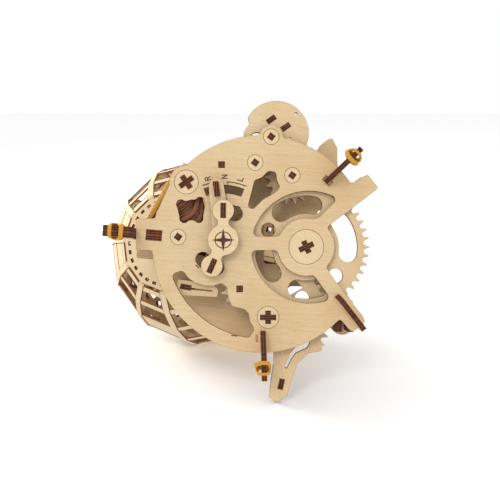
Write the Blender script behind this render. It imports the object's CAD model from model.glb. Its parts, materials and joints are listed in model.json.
# %% [markdown]
# # A mechanical globe in laser-cut plywood
# The real object is a kit: flat sheets of birch plywood, cut by a laser, pressed together without glue.
# Every flat face is pale birch, and every cut edge is burnt brown and shows the plies. So nearly all of
# its looks come from one idea: tell a sheet's face from its edge, and give each its own finish.
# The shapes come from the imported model. This scene adds the finishes, the rubber bands, light and camera.

import json
import math

import bmesh
import bpy
from mathutils import Matrix, Vector


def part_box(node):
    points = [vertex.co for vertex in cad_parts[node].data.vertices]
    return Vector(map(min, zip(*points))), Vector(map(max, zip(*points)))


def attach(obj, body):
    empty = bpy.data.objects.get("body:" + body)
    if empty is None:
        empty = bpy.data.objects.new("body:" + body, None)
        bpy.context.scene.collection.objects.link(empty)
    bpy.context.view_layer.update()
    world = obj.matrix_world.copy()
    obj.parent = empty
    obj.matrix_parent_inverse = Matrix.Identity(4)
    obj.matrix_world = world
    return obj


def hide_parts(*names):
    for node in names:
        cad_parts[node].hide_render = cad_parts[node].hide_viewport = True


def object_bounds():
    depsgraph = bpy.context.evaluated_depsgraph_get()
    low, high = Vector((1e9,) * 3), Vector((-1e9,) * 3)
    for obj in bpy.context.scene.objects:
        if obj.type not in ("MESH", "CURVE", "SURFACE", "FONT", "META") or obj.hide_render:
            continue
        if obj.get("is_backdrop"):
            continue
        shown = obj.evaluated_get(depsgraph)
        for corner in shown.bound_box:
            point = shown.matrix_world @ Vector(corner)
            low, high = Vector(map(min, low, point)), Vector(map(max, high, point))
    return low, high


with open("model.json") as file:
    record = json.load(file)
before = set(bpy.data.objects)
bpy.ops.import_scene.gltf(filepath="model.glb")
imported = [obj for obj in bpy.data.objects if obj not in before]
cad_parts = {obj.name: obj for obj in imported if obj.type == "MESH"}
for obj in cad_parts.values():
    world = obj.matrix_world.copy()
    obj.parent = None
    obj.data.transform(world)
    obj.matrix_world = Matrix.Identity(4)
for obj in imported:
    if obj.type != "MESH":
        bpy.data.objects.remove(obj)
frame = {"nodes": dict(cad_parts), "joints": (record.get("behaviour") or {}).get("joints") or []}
nodes = frame["nodes"]
cad_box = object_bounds()
MM = 0.001

# %% [markdown]
# ## Camera
# The model stands on its three feet, but it is looked at from beneath, square on to the base plate, from
# about 45 cm. That is close enough for the globe behind to look smaller than it is, so the distance matters
# as much as the direction. The camera's frame is built from two vectors, which keeps the picture upright.

# %% Camera
plate_low, plate_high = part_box("base_plate")
CAMERA_DISTANCE = 450 * MM
camera_place = Vector((-10.5 * MM, 13.4 * MM, plate_low.z - CAMERA_DISTANCE))
camera_forward = Vector((0.0098, -0.022, 1)).normalized()
camera_right = (Vector((1, 0, 0)) - camera_forward * camera_forward.x).normalized()
camera_up = camera_right.cross(camera_forward)
camera_turn = Matrix((camera_right, camera_up, -camera_forward)).transposed()

camera_data = bpy.data.cameras.new("camera")
camera_data.sensor_width = 36
camera_data.lens = 58.8
camera_data.clip_start = 0.01
camera = bpy.data.objects.new("camera", camera_data)
camera.matrix_world = Matrix.Translation(camera_place) @ camera_turn.to_4x4()
bpy.context.scene.collection.objects.link(camera)
bpy.context.scene.camera = camera
print("camera up in the model:", [round(value, 2) for value in camera_up])

# %% [markdown]
# ## A short way to write node trees
# A material is a graph. Written out call by call it hides what it does, so this small class places a node,
# fills its inputs with numbers or with other nodes' outputs, and returns the output that is wanted.

# %% Node helper
class Graph:
    def __init__(self, tree):
        self.tree = tree

    def add(self, kind, inputs=(), output=0, **settings):
        node = self.tree.nodes.new(kind)
        for name, value in settings.items():
            setattr(node, name, value)
        for key, value in dict(inputs).items():
            if isinstance(value, bpy.types.NodeSocket):
                self.tree.links.new(value, node.inputs[key])
            else:
                node.inputs[key].default_value = value
        return node.outputs[output]

    def math(self, operation, a, b=0.0, clamp=False):
        return self.add("ShaderNodeMath", {0: a, 1: b}, operation=operation, use_clamp=clamp)

    def vector(self, operation, a, b=(0, 0, 0), output=0):
        return self.add("ShaderNodeVectorMath", {0: a, 1: b}, output, operation=operation)

    def dot(self, a, b):
        return self.vector("DOT_PRODUCT", a, b, "Value")

    def scale(self, a, factor):
        return self.add("ShaderNodeVectorMath", {0: a, "Scale": factor}, operation="SCALE")

    def place_mm(self):
        return self.scale(self.add("ShaderNodeTexCoord", output="Object"), 1 / MM)

    def step(self, value, low, high):
        ramp = {"Value": value, "From Min": low, "From Max": high, "To Min": 0.0, "To Max": 1.0}
        return self.add("ShaderNodeMapRange", ramp, interpolation_type="SMOOTHSTEP")

    def mix(self, factor, a, b):
        inputs = {0: factor, 6: a, 7: b}
        return self.add("ShaderNodeMix", inputs, 2, data_type="RGBA", clamp_factor=True)

    def noise(self, place, scale, detail=3.0, roughness=0.55):
        inputs = {"Vector": place, "Scale": scale, "Detail": detail, "Roughness": roughness}
        return self.add("ShaderNodeTexNoise", inputs, 0)


def srgb(red, green, blue):
    def linear(value):
        value /= 255
        return value / 12.92 if value <= 0.04045 else ((value + 0.055) / 1.055) ** 2.4

    return (linear(red), linear(green), linear(blue), 1)


# %% [markdown]
# ## The plywood group
# One group makes the finish of any sheet. Its inputs say which way the sheet lies (*Sheet*), which way its
# grain runs (*Grain*), and how far through the sheet a point is (*Depth*, from 0 to 1). A point whose normal
# follows *Sheet* is on a face; any other is on a cut edge.
#
# - The face is birch: long soft streaks along the grain, short dark pores and a slow drift of tone.
# - The edge is burnt: plies as dark and light lines along it, and the laser's flutes across them.
# - Where the laser only engraved, the floor of the mark is browned too. *Engraved* masks it.

# %% Plywood group
def new_group(name, inputs, outputs):
    group = bpy.data.node_groups.new(name, "ShaderNodeTree")
    for title, kind, default in inputs:
        socket = group.interface.new_socket(title, in_out="INPUT", socket_type=kind)
        socket.default_value = default
    for title, kind in outputs:
        group.interface.new_socket(title, in_out="OUTPUT", socket_type=kind)
    return group, Graph(group)


FLOAT, VECTOR, COLOR = "NodeSocketFloat", "NodeSocketVector", "NodeSocketColor"

FACE_PALE = srgb(221, 198, 160)
FACE_WARM = srgb(194, 162, 118)
FACE_PORE = srgb(150, 110, 72)
EDGE_DARK = srgb(50, 24, 14)
EDGE_LIGHT = srgb(134, 78, 44)
ENGRAVED_BROWN = srgb(78, 48, 32)
SCORCH_DARK = srgb(150, 104, 66)
SCORCH_LIGHT = srgb(196, 150, 104)
RIM_MM = 0.35
PLIES = 5


def make_plywood_group():
    inputs = [
        ("Sheet", VECTOR, (0, 0, 1)),
        ("Grain", VECTOR, (1, 0, 0)),
        ("Depth", FLOAT, 0.5),
        ("Engraved", FLOAT, 0.0),
        ("Face share", FLOAT, 1.0),
        ("Tone", FLOAT, 0.5),
        ("Edge burn", FLOAT, 1.0),
    ]
    outputs = [("Color", COLOR), ("Roughness", FLOAT), ("Height", FLOAT)]
    group, g = new_group("plywood", inputs, outputs)
    given = group.nodes.new("NodeGroupInput").outputs
    result = group.nodes.new("NodeGroupOutput").inputs
    place = g.place_mm()
    normal = g.add("ShaderNodeTexCoord", output="Normal")
    facing = g.step(g.math("ABSOLUTE", g.dot(normal, given["Sheet"])), 0.62, 0.8)
    # The laser chars the rim of each cut, so a face darkens within a fraction of a millimetre of its edge.
    rounded = g.add("ShaderNodeBevel", {"Radius": RIM_MM * MM}, samples=4)
    turned_by = g.dot(rounded, g.add("ShaderNodeNewGeometry", output="Normal"))
    rim = g.step(turned_by, 0.93, 0.998)
    facing = g.math("MULTIPLY", facing, rim)
    face = g.math("MULTIPLY", facing, given["Face share"])

    # Along and across the grain, in millimetres; the third axis keeps the two faces different.
    across = g.vector("CROSS_PRODUCT", given["Grain"], given["Sheet"])
    along_mm = g.dot(place, given["Grain"])
    across_mm = g.dot(place, across)
    through_mm = g.math("MULTIPLY", given["Depth"], 2.0)
    wander = g.noise(g.scale(place, 0.035), 1.0, 1.0)
    bent = g.math("ADD", across_mm, g.math("MULTIPLY", wander, 3.0))
    long_mm = g.math("MULTIPLY", along_mm, 0.035)
    long_streak = g.add("ShaderNodeCombineXYZ", {0: long_mm, 1: bent, 2: through_mm})
    short_mm = g.math("MULTIPLY", along_mm, 0.3)
    short_streak = g.add("ShaderNodeCombineXYZ", {0: short_mm, 1: bent, 2: through_mm})
    streak = g.noise(long_streak, 0.75, 4.0, 0.6)
    fine = g.noise(long_streak, 4.5, 3.0, 0.7)
    pore = g.step(g.noise(short_streak, 2.6, 2.0), 0.62, 0.72)
    drift = g.noise(g.scale(place, 0.03), 1.0, 2.0)

    warmth = g.math("ADD", g.math("MULTIPLY", streak, 0.6), g.math("MULTIPLY", fine, 1.0))
    warmth = g.math("ADD", warmth, g.math("MULTIPLY", drift, 0.6))
    warmth = g.math("ADD", warmth, g.math("SUBTRACT", given["Tone"], 0.5))
    face_color = g.mix(g.step(warmth, 0.6, 1.6), FACE_PALE, FACE_WARM)
    face_color = g.mix(g.math("MULTIPLY", pore, 0.45), face_color, FACE_PORE)

    # Plies: layers through the sheet, alternately end grain and long grain.
    layers = g.math("SINE", g.math("MULTIPLY", given["Depth"], PLIES * math.pi))
    layers = g.step(layers, -0.5, 0.7)
    through = g.scale(given["Sheet"], g.dot(place, given["Sheet"]))
    in_sheet = g.vector("SUBTRACT", place, through)
    flutes = g.noise(in_sheet, 1.5, 3.0, 0.7)
    soot = g.noise(g.scale(place, 0.22), 1.0, 3.0)
    light = g.math("MULTIPLY", layers, g.step(flutes, 0.28, 0.6))
    light = g.math("MULTIPLY", light, g.step(soot, 0.15, 0.55))
    edge_color = g.mix(light, EDGE_DARK, EDGE_LIGHT)
    scorch = g.mix(g.math("MULTIPLY", flutes, 0.5), SCORCH_DARK, SCORCH_LIGHT)
    edge_color = g.mix(given["Edge burn"], scorch, edge_color)

    color = g.mix(face, edge_color, face_color)
    color = g.mix(given["Engraved"], color, ENGRAVED_BROWN)
    group.links.new(color, result["Color"])
    rough = g.math("SUBTRACT", 0.85, g.math("MULTIPLY", face, 0.27))
    group.links.new(g.math("ADD", rough, g.math("MULTIPLY", fine, 0.08)), result["Roughness"])
    grain_relief = g.math("MULTIPLY", g.math("ADD", streak, fine), face)
    relief = g.math("ADD", grain_relief, g.math("MULTIPLY", light, 1.5))
    group.links.new(g.math("SUBTRACT", relief, pore), result["Height"])
    return group


PLYWOOD = make_plywood_group()
print("plywood group:", len(PLYWOOD.nodes), "nodes")

# %% [markdown]
# ## A material for each part
# Sheets lie in many directions. Most lie flat, so their normal is +Z. The legs stand on edge and point away
# from the centre of the base. On the globe a rib lies in a plane through the axis, while a strip, a slat or a
# panel faces outwards, so there the sheet's direction is worked out at each point from the globe's own centre
# and axis. Pins and axles are strips seen end on: they have no face at all.

# %% Directions on the globe
globe_joint = next(joint for joint in frame["joints"] if joint["name"] == "globe_turn")
globe_centre = Vector(globe_joint["pos_m"])
globe_axis = Vector(globe_joint["axis"]).normalized()
arm_normal = globe_axis.cross(Vector((0, 0, 1))).normalized()


def make_globe_group():
    inputs = [("Centre", VECTOR, (0, 0, 0)), ("Axis", VECTOR, (0, 0, 1))]
    outputs = [("Outward", VECTOR), ("Around", VECTOR), ("Radius mm", FLOAT)]
    group, g = new_group("globe directions", inputs, outputs)
    given = group.nodes.new("NodeGroupInput").outputs
    result = group.nodes.new("NodeGroupOutput").inputs
    arm = g.vector("SUBTRACT", g.add("ShaderNodeTexCoord", output="Object"), given["Centre"])
    group.links.new(g.vector("NORMALIZE", arm), result["Outward"])
    around = g.vector("NORMALIZE", g.vector("CROSS_PRODUCT", given["Axis"], arm))
    group.links.new(around, result["Around"])
    reach = g.vector("LENGTH", arm, output="Value")
    group.links.new(g.math("MULTIPLY", reach, 1 / MM), result["Radius mm"])
    return group


GLOBE = make_globe_group()

# %% Plywood material
def turned(degrees):
    return Vector((math.cos(math.radians(degrees)), math.sin(math.radians(degrees)), 0))


def plywood(name, sheet=(0, 0, 1), grain=0.0, low=0.0, thickness=3.0, tone=0.5, faces=True, burn=1.0,
            engraved=None):
    """A plywood material. sheet is the sheet's normal, or "outward" or "around" on the globe. low is the
    height of its lower face along that normal, in mm. engraved is the range of depth of marks, 0 to 1."""
    material = bpy.data.materials.new(name)
    material.use_nodes = True
    tree = material.node_tree
    g = Graph(tree)
    shader = tree.nodes["Principled BSDF"]
    group = tree.nodes.new("ShaderNodeGroup")
    group.node_tree = PLYWOOD
    place = g.place_mm()
    if sheet in ("outward", "around"):
        directions = tree.nodes.new("ShaderNodeGroup")
        directions.node_tree = GLOBE
        directions.inputs["Centre"].default_value = globe_centre
        directions.inputs["Axis"].default_value = globe_axis
        normal, along = ("Outward", "Around") if sheet == "outward" else ("Around", "Outward")
        tree.links.new(directions.outputs[normal], group.inputs["Sheet"])
        tree.links.new(directions.outputs[along], group.inputs["Grain"])
        depth = g.math("SUBTRACT", directions.outputs["Radius mm"], low)
    else:
        sheet = Vector(sheet).normalized()
        first = sheet.orthogonal().normalized() if abs(sheet.z) < 0.9 else Vector((1, 0, 0))
        first = (first - sheet * first.dot(sheet)).normalized()
        second = sheet.cross(first)
        angle = math.radians(grain)
        group.inputs["Sheet"].default_value = sheet
        group.inputs["Grain"].default_value = first * math.cos(angle) + second * math.sin(angle)
        depth = g.math("SUBTRACT", g.dot(place, sheet), low)
    depth = g.math("DIVIDE", depth, thickness)
    tree.links.new(depth, group.inputs["Depth"])
    if engraved:
        from_low = g.math("GREATER_THAN", depth, engraved[0])
        to_high = g.math("LESS_THAN", depth, engraved[1])
        facing = g.math("ABSOLUTE", g.dot(g.add("ShaderNodeTexCoord", output="Normal"), tuple(sheet)))
        at_depth = g.math("MULTIPLY", from_low, to_high)
        floor = g.math("MULTIPLY", at_depth, g.math("GREATER_THAN", facing, 0.9))
        tree.links.new(floor, group.inputs["Engraved"])
    group.inputs["Face share"].default_value = 1.0 if faces else 0.0
    group.inputs["Tone"].default_value = tone
    group.inputs["Edge burn"].default_value = burn
    tree.links.new(group.outputs["Color"], shader.inputs["Base Color"])
    tree.links.new(group.outputs["Roughness"], shader.inputs["Roughness"])
    bump = {"Height": group.outputs["Height"], "Strength": 0.25, "Distance": 0.00012}
    tree.links.new(g.add("ShaderNodeBump", bump), shader.inputs["Normal"])
    shader.inputs["Specular IOR Level"].default_value = 0.3
    return material


def finish(node, material):
    mesh = nodes[node].data
    mesh.materials.clear()
    mesh.materials.append(material)


# %% [markdown]
# ## Flat sheets
# Each part was cut from its own place on the board, so the grain turns from part to part and some are paler
# than others. The two plates and the selector keep the long grain that runs across the model.

# %% Flat sheets
def height_mm(node):
    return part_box(node)[0].z / MM


ENGRAVING_MM = 0.3
ply_mm = (plate_high.z - plate_low.z) / MM
engraved_floor = ((ENGRAVING_MM - 0.1) / ply_mm, (ENGRAVING_MM + 0.1) / ply_mm)

flat_sheets = {
    # name: (grain in degrees, tone)
    "base_plate": (4, 0.5), "top_plate": (8, 0.62), "click_spring": (-50, 0.55), "arm_brackets": (90, 0.5),
    "main_gear": (62, 0.5), "winding_pinion": (20, 0.5), "winding_lever": (70, 0.52),
    "step_pinion": (35, 0.5), "second_pinion": (75, 0.5), "transfer_gear": (15, 0.5),
    "second_gear": (50, 0.55), "governor_wheel": (5, 0.5), "governor_pinion": (65, 0.5),
    "motor_idler": (30, 0.5), "motor_gear": (80, 0.5), "motor_drum": (40, 0.5), "selector_plate": (3, 0.38),
    "selector_arm": (-70, 0.42), "upper_idler": (25, 0.5), "lower_idler": (60, 0.5),
    "release_lever": (12, 0.45), "output_gear": (45, 0.5), "main_disc": (55, 0.3), "lever_disc": (85, 0.3),
    "motor_disc": (35, 0.32),
}
for node, (grain, tone) in flat_sheets.items():
    marks = engraved_floor if node in ("base_plate", "selector_plate") else None
    material = plywood(node, grain=grain, low=height_mm(node), thickness=ply_mm, tone=tone, engraved=marks)
    finish(node, material)
print("flat sheets:", len(flat_sheets))

# %% [markdown]
# ## Legs, posts and axles
# A leg is a sheet on edge, so from beneath only its burnt edge shows, with its plies as lines along it. An
# axle is a strip or a pair of strips, and its end is the same burnt edge: it gets no face at all.

# %% Legs and strips on edge
def corner_mm(node, direction):
    """The lowest reach of a part along a direction, in millimetres."""
    return min(vertex.co.dot(direction) for vertex in nodes[node].data.vertices) / MM


def on_edge(node, heading, faces=True):
    """A sheet on edge whose plane runs along the heading, in degrees from +X."""
    across = turned(heading + 90)
    material = plywood(node, sheet=across, grain=20, low=corner_mm(node, across), thickness=ply_mm,
                       faces=faces)
    finish(node, material)


LEFT_LEG, RIGHT_LEG, LOWER_LEG, ARM_RIB = 184.5, -43.4, 88.9, 52.3
for node in ("left_leg_front", "left_leg_rear"):
    on_edge(node, LEFT_LEG)
on_edge("right_leg", RIGHT_LEG)
on_edge("lower_leg", LOWER_LEG)
on_edge("arm_rib", ARM_RIB)

SMALL_AXLE, MAIN_AXLE, MOTOR_AXLE, TAB = 35, -25, -35, -35
pins = {
    "gear_posts": 0, "stay_posts": 0, "spring_post": 10, "band_anchor": 0, "main_axle": MAIN_AXLE,
    "lever_axle": 0, "lever_grip": 103, "second_axle": SMALL_AXLE, "governor_axle": SMALL_AXLE,
    "motor_axle": MOTOR_AXLE, "selector_pins": 90, "release_axle": SMALL_AXLE, "release_tabs": TAB,
    "output_axle": SMALL_AXLE,
}
for node, heading in pins.items():
    on_edge(node, heading, faces=False)
print("pins and axles:", len(pins))

# %% [markdown]
# ## Bearing discs
# Four small axles carry their discs in the same part, because they are pressed together. The disc is a pale
# round face with the dark end of the axle in it, so this material asks how far a point is from the axle's
# line: inside the square it is burnt end, and outside it is birch.

# %% Small axles with their discs
def axle_with_disc(node, joint_name, size, arms=0.0):
    """size is the axle's width in mm; arms is the reach of a cross from its centre, or 0 on a square."""
    joint = next(joint for joint in frame["joints"] if joint["name"] == joint_name)
    heading = pins[node]
    material = plywood(node, grain=heading + 30, low=height_mm(node), thickness=ply_mm, tone=0.32)
    tree = material.node_tree
    g = Graph(tree)
    group = next(item for item in tree.nodes if item.type == "GROUP" and item.node_tree == PLYWOOD)
    place = g.vector("SUBTRACT", g.add("ShaderNodeTexCoord", output="Object"), tuple(joint["pos_m"]))
    place = g.scale(place, 1 / MM)
    along = g.math("ABSOLUTE", g.dot(place, tuple(turned(heading))))
    across = g.math("ABSOLUTE", g.dot(place, tuple(turned(heading + 90))))
    half = size / 2 + 0.02
    if arms:
        inner = g.math("MINIMUM", along, across)
        outer = g.math("MAXIMUM", along, across)
        inside = g.math("MULTIPLY", g.math("LESS_THAN", inner, half), g.math("LESS_THAN", outer, arms))
    else:
        inside = g.math("LESS_THAN", g.math("MAXIMUM", along, across), half)
    tree.links.new(g.math("SUBTRACT", 1.0, inside), group.inputs["Face share"])
    depth = g.math("DIVIDE", g.math("ADD", g.dot(place, tuple(turned(heading + 90))), half), 2 * half)
    flat_depth = group.inputs["Depth"].links[0].from_socket
    chosen = g.add("ShaderNodeMix", {0: inside, 2: flat_depth, 3: depth}, 0, data_type="FLOAT")
    tree.links.new(chosen, group.inputs["Depth"])
    finish(node, material)


SQUARE_MM, CROSS_REACH_MM = 3.6, 4.45
square_axles = {"second_axle": "second_turn", "governor_axle": "governor_turn",
                "release_axle": "release_swing", "output_axle": "output_turn"}
cross_axles = {"main_axle": "main_turn", "lever_axle": "winding_lever_swing", "motor_axle": "motor_turn"}
for node, joint in square_axles.items():
    axle_with_disc(node, joint, SQUARE_MM)
for node, joint in cross_axles.items():
    axle_with_disc(node, joint, ply_mm, CROSS_REACH_MM)
print("axles with discs:", len(square_axles) + len(cross_axles))

# %% [markdown]
# ## The globe
# The globe is a lattice: hoops on edge, a thin strip bent over each hoop, straight slats between them, and
# thin panels where the land and the ice are. Only the thin outer sheets are seen face on, so they are pale
# and their edges only lightly scorched, while the hoops inside are darker.

# %% Globe finishes
outer_mm = max((vertex.co - globe_centre).length for vertex in nodes["meridian_strips"].data.vertices) / MM
SKIN_MM, RIB_MM = 2.4, 6
skins = {"meridian_strips": (0.0, 0.4), "latitude_slats": (-0.1, 0.3), "land_sheets": (0.0, 0.35)}
for node, (tone, burn) in skins.items():
    material = plywood(node, sheet="outward", low=outer_mm - SKIN_MM, thickness=SKIN_MM, tone=tone, burn=burn)
    finish(node, material)
finish("meridian_ribs", plywood("meridian_ribs", sheet="around", low=outer_mm - RIB_MM, thickness=RIB_MM,
                                tone=0.55, burn=0.5))
level_sheets = {"globe_caps": (0.1, 0.7), "globe_ring": (0.7, 1.0), "globe_wheel": (0.5, 1.0),
                "pole_bearings": (0.5, 1.0)}
for node, (tone, burn) in level_sheets.items():
    finish(node, plywood(node, sheet=globe_axis, grain=40, low=corner_mm(node, globe_axis), thickness=ply_mm,
                         tone=tone, burn=burn))
for node, tone in (("meridian_arm_front", 0.4), ("meridian_arm_rear", 0.45)):
    finish(node, plywood(node, sheet=arm_normal, grain=75, low=corner_mm(node, arm_normal), thickness=ply_mm,
                         tone=tone))
finish("globe_axle", plywood("globe_axle", sheet=arm_normal, grain=90, faces=False, burn=0.25,
                             low=corner_mm("globe_axle", arm_normal), thickness=5))

# %% [markdown]
# ## Rubber
# The bands are amber natural rubber: clear enough to glow at a thin edge, with a soft shine and some dust.
# Light goes some way in and comes out warmer, which is subsurface scattering, so the colour is kept bright
# and the scattering distance is longest in red. In a thick bundle most of the light is lost on its way
# between the strands, so across the motor's bundle the colour deepens to red-brown.

# %% Rubber material
AMBER_LIGHT = srgb(206, 154, 40)
AMBER_DARK = srgb(182, 126, 22)
AMBER_DEEP = srgb(124, 66, 12)
DUST = srgb(226, 190, 110)


def make_rubber(name, across=None, reach=(0, 1)):
    """Amber rubber. across is a direction, and reach holds two places along it, in mm: between them the
    colour deepens."""
    material = bpy.data.materials.new(name)
    material.use_nodes = True
    tree = material.node_tree
    g = Graph(tree)
    shader = tree.nodes["Principled BSDF"]
    place = g.place_mm()
    cloud = g.noise(place, 0.5, 3.0)
    speck = g.step(g.noise(place, 5.0, 2.0), 0.62, 0.75)
    color = g.mix(cloud, AMBER_LIGHT, AMBER_DARK)
    color = g.mix(g.math("MULTIPLY", speck, 0.3), color, DUST)
    if across:
        color = g.mix(g.step(g.dot(place, across), *reach), color, AMBER_DEEP)
    tree.links.new(color, shader.inputs["Base Color"])
    rough = g.math("ADD", 0.34, g.math("MULTIPLY", cloud, 0.25))
    tree.links.new(rough, shader.inputs["Roughness"])
    bump = {"Height": g.noise(place, 2.2, 3.0), "Strength": 0.3, "Distance": 0.00015}
    tree.links.new(g.add("ShaderNodeBump", bump), shader.inputs["Normal"])
    shader.inputs["Subsurface Weight"].default_value = 0.35
    shader.inputs["Subsurface Radius"].default_value = (1.0, 0.45, 0.08)
    shader.inputs["Subsurface Scale"].default_value = 0.0012
    return material


RUBBER = make_rubber("amber_rubber_band")
finish("output_roller", RUBBER)

# %% [markdown]
# ## Bands round the feet
# A band goes over a toe twice. It crosses the toe's face in two turns, and between them it runs along both
# sides, where it bulges away from the wood because only its ends are held. A closed curve through those
# places gives the path, and a small flat loop as its bevel object gives the band's section. The curve is
# turned into a mesh, so that the piece's place is in its mesh.

# %% A flat band along a closed path
SECTION_CORNERS = 12
ROUNDNESS = 0.55  # 1 makes the section an ellipse, and 0 a rectangle


def band_profile(name, width, thickness):
    curve = bpy.data.curves.new(name, "CURVE")
    curve.dimensions = "2D"
    spline = curve.splines.new("POLY")
    spline.points.add(SECTION_CORNERS - 1)
    for index, point in enumerate(spline.points):
        angle = 2 * math.pi * (index + 0.5) / SECTION_CORNERS
        flat = [math.copysign(abs(value) ** ROUNDNESS, value) for value in (math.cos(angle), math.sin(angle))]
        point.co = (flat[0] * width / 2 * MM, flat[1] * thickness / 2 * MM, 0, 1)
    spline.use_cyclic_u = True
    return bpy.data.objects.new(name, curve)


def band_along(name, node, points, width, thickness, material, resolution=5):
    """A closed flat band through the points, in metres, that stands in for the part called node."""
    curve = bpy.data.curves.new(name, "CURVE")
    curve.dimensions = "3D"
    curve.twist_mode = "MINIMUM"
    curve.resolution_u = resolution
    spline = curve.splines.new("NURBS")
    spline.points.add(len(points) - 1)
    for point, place in zip(spline.points, points):
        point.co = (*place, 1)
    spline.order_u = 4
    spline.use_cyclic_u = True
    profile = band_profile(name + "_section", width, thickness)
    curve.bevel_mode = "OBJECT"
    curve.bevel_object = profile
    pattern = bpy.data.objects.new(name + "_path", curve)
    for item in (profile, pattern):
        bpy.context.scene.collection.objects.link(item)
    bpy.context.view_layer.update()
    mesh = bpy.data.meshes.new_from_object(pattern.evaluated_get(bpy.context.evaluated_depsgraph_get()))
    for item in (pattern, profile):
        bpy.data.objects.remove(item)
    mesh.name = name
    mesh.materials.clear()
    mesh.materials.append(material)
    mesh.shade_smooth()
    piece = bpy.data.objects.new(name, mesh)
    bpy.context.scene.collection.objects.link(piece)
    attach(piece, "frame")
    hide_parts(node)


# %% Two turns and two sides
def foot_band(node, heading, radii, section, bulge, width, thickness):
    """A band over a toe. radii are its two turns' places along the leg, section is the toe's width and
    height, and bulge is how far its two sides stand off, all in mm."""
    low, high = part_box(node)
    middle = (low.z + high.z) / 2 / MM
    half = section[0] / 2 + thickness / 2
    face = section[1] / 2 + thickness / 2
    centre = sum(radii) / 2
    reach = (radii[1] - radii[0]) / 2
    left, right = bulge
    route = [
        (-reach, half, -face), (-reach, 0, -face - 0.05), (-reach, -half, -face),
        (-reach * 0.6, -half - right * 0.5, -face * 0.45), (0, -half - right, -0.1 * face),
        (reach * 0.5, -half - right * 0.4, face * 0.7), (reach * 0.6, -half * 0.8, face),
        (reach * 0.2, half * 0.8, face), (0.2, half + left * 0.3, face * 0.7),
        (0.5 * reach, half + left * 0.7, 0.1 * face), (reach * 0.9, half + left * 0.4, -face * 0.5),
        (reach, half, -face), (reach, 0, -face - 0.05), (reach, -half, -face),
        (reach * 0.7, -half - right * 0.4, -face * 0.3), (-0.1 * reach, -half - right * 0.8, 0.3 * face),
        (-reach * 0.5, -half, face * 0.8), (-reach * 0.6, -half * 0.4, face),
        (-reach * 0.6, half * 0.6, face), (-reach * 0.7, half + left * 0.4, face * 0.6),
        (-reach * 0.2, half + left, 0), (-reach * 0.7, half + left * 0.5, -face * 0.5),
    ]
    points = []
    for along, across, up in route:
        place = turned(heading) * (centre + along) + turned(heading + 90) * across
        points.append(Vector((place.x, place.y, middle + up)) * MM)
    band_along(node + "_turns", node, points, width, thickness, RUBBER)


foot_band("left_foot_bands", LEFT_LEG, (74.9, 81.0), (2 * ply_mm, 12.7), (0.5, 0.4), 2.5, 1.1)
foot_band("right_foot_band", RIGHT_LEG, (65.0, 70.2), (ply_mm, 7.1), (2.6, 2.4), 2.4, 1.3)
foot_band("lower_foot_band", LOWER_LEG, (63.6, 69.6), (ply_mm, 7.1), (3.0, 1.0), 2.2, 1.3)

# %% [markdown]
# ## The rubber motor
# The motor is band looped several times round its drum and a peg beside the lug, so it is a bundle of long
# strands that lie over each other. Each loop follows the same two circles, at its own height. Unwound, the
# rubber is slack: the side that runs straight to the peg stays put, and the other side bows out, each loop
# further than the last, so that the bundle spreads out under the plate's window.

# %% Motor loops
motor_low, motor_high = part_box("motor_band")
motor_joint = next(joint for joint in frame["joints"] if joint["name"] == "motor_turn")
motor_centre = Vector(motor_joint["pos_m"]).xy / MM
peg_low, peg_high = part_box("band_anchor")
peg_centre = ((peg_low + peg_high) / 2).xy / MM


def motor_loop(index, drum_radius, peg_radius, height, bow):
    line = (peg_centre - motor_centre).normalized()
    side = Vector((-line.y, line.x))
    points = []
    for step in range(7):
        angle = math.radians(-90 + 30 * step)
        around = -line * math.cos(angle) + side * math.sin(angle)
        points.append(motor_centre + around * drum_radius)
    far = [peg_centre + side * peg_radius, peg_centre + line * peg_radius, peg_centre - side * peg_radius]
    near = points[-1]
    for share in (0.35, 0.7):
        points.append(near.lerp(far[0], share))
    points.extend(far)
    for share, slack in ((0.25, 0.5), (0.5, 1.0), (0.75, 0.9)):
        points.append(far[-1].lerp(points[0], share) - side * bow * slack)
    path = []
    for count, point in enumerate(points):
        waver = 0.35 * math.sin(2.3 * count + 1.7 * index)
        path.append(Vector((point.x, point.y, height + waver)) * MM)
    band_along(f"motor_loop_{index + 1}", "motor_band", path, STRAND_WIDTH, STRAND_THICKNESS, BUNDLE, 4)


LOOPS, LAYERS = 8, 4
STRAND_WIDTH, STRAND_THICKNESS = 2.7, 1.1
DRUM_RADIUS, PEG_RADIUS, NESTING = 8.6, 2.4, 0.5
FIRST_BOW, NEXT_BOW = -1, 2.4
slack_side = -(peg_centre - motor_centre).normalized().orthogonal()
middle_line = motor_centre.dot(slack_side)
BUNDLE = make_rubber("amber_rubber_bundle", (*slack_side, 0), (middle_line - 5, middle_line + 4))
motor_height = (motor_high.z - motor_low.z) / MM
for index in range(LOOPS):
    height = motor_low.z / MM + motor_height * (index % LAYERS + 0.5) / LAYERS
    nested = NESTING * (index % 3)
    motor_loop(index, DRUM_RADIUS - nested, PEG_RADIUS - nested, height, FIRST_BOW + NEXT_BOW * index)
print("motor loops:", LOOPS)

# %% [markdown]
# ## Floor, backdrop and light
# The room is white. A pale sheet stands behind the model, just touching the winding handle and the globe, so
# that it takes their soft contact shadows. A second one lies under the feet for the views from above. Each is
# seen from its front only, so neither hides the model from the other side. The light is one large soft lamp
# from the upper left, in front of the base plate, a weaker one above for the globe, and a white sky.

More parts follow.
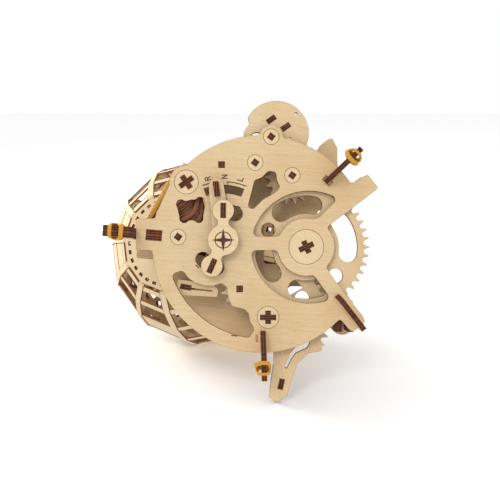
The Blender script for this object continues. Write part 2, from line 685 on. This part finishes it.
# %% Stage
def make_stage_material(name, color):
    material = bpy.data.materials.new(name)
    material.use_nodes = True
    tree = material.node_tree
    shader = tree.nodes["Principled BSDF"]
    shader.inputs["Base Color"].default_value = color
    shader.inputs["Roughness"].default_value = 0.9
    clear = tree.nodes.new("ShaderNodeBsdfTransparent")
    choice = tree.nodes.new("ShaderNodeMixShader")
    back = tree.nodes.new("ShaderNodeNewGeometry")
    tree.links.new(back.outputs["Backfacing"], choice.inputs[0])
    tree.links.new(shader.outputs[0], choice.inputs[1])
    tree.links.new(clear.outputs[0], choice.inputs[2])
    tree.links.new(choice.outputs[0], tree.nodes["Material Output"].inputs["Surface"])
    return material


def stage_plane(name, place, facing, size, material):
    shape = bmesh.new()
    bmesh.ops.create_grid(shape, x_segments=1, y_segments=1, size=size / 2)
    turn = Vector((0, 0, 1)).rotation_difference(facing).to_matrix().to_4x4()
    bmesh.ops.transform(shape, verts=shape.verts, matrix=Matrix.Translation(place) @ turn)
    mesh = bpy.data.meshes.new(name)
    shape.to_mesh(mesh)
    shape.free()
    plane = bpy.data.objects.new(name, mesh)
    mesh.materials.append(material)
    bpy.context.scene.collection.objects.link(plane)
    plane.visible_shadow = False
    plane.visible_diffuse = False
    plane.visible_glossy = False
    plane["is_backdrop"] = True


BACKDROP_TILT = math.radians(13.8)
backdrop_normal = Vector((0, math.cos(BACKDROP_TILT), math.sin(BACKDROP_TILT)))
reach = max(vertex.co.dot(backdrop_normal) for node in ("winding_lever", "meridian_strips")
            for vertex in nodes[node].data.vertices)
white = make_stage_material("white_card", (0.95, 0.95, 0.96, 1))
SHEET_SIZE = 6
stage_plane("backdrop", backdrop_normal * reach, -backdrop_normal, SHEET_SIZE, white)
stage_plane("floor", Vector((0, 0, 0)), Vector((0, 0, 1)), SHEET_SIZE, white)
print("sheets:", SHEET_SIZE, "m across")

# %% Light
def soft_light(name, place, target, size, watts, color=(1, 1, 1)):
    data = bpy.data.lights.new(name, "AREA")
    data.shape = "DISK"
    data.size = size
    data.energy = watts
    data.color = color
    lamp = bpy.data.objects.new(name, data)
    aim = (target - place).to_track_quat("-Z", "Y")
    lamp.matrix_world = Matrix.Translation(place) @ aim.to_matrix().to_4x4()
    bpy.context.scene.collection.objects.link(lamp)
    print(name, watts, "W")


middle = (cad_box[0] + cad_box[1]) / 2
soft_light("key_light", Vector((-0.75, -0.95, -2.2)), middle, 0.8, 16.0, (1, 0.96, 0.92))
soft_light("top_light", Vector((-0.9, -0.5, 0.6)), middle, 0.5, 10.0, (1, 0.98, 0.94))

world = bpy.data.worlds.new("white_room")
world.use_nodes = True
world.node_tree.nodes["Background"].inputs["Color"].default_value = (1, 1, 1, 1)
world.node_tree.nodes["Background"].inputs["Strength"].default_value = 1.0
bpy.context.scene.world = world
bpy.context.scene.view_settings.view_transform = "Standard"

# %% [markdown]
# ## Sizes
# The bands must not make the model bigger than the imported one, so both boxes are written down and compared.

# %% Compare the boxes
visual_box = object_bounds()
for corner_cad, corner_visual in zip(cad_box, visual_box):
    print("box corner, mm:", [round(value / MM, 1) for value in corner_cad],
          [round(value / MM, 1) for value in corner_visual])
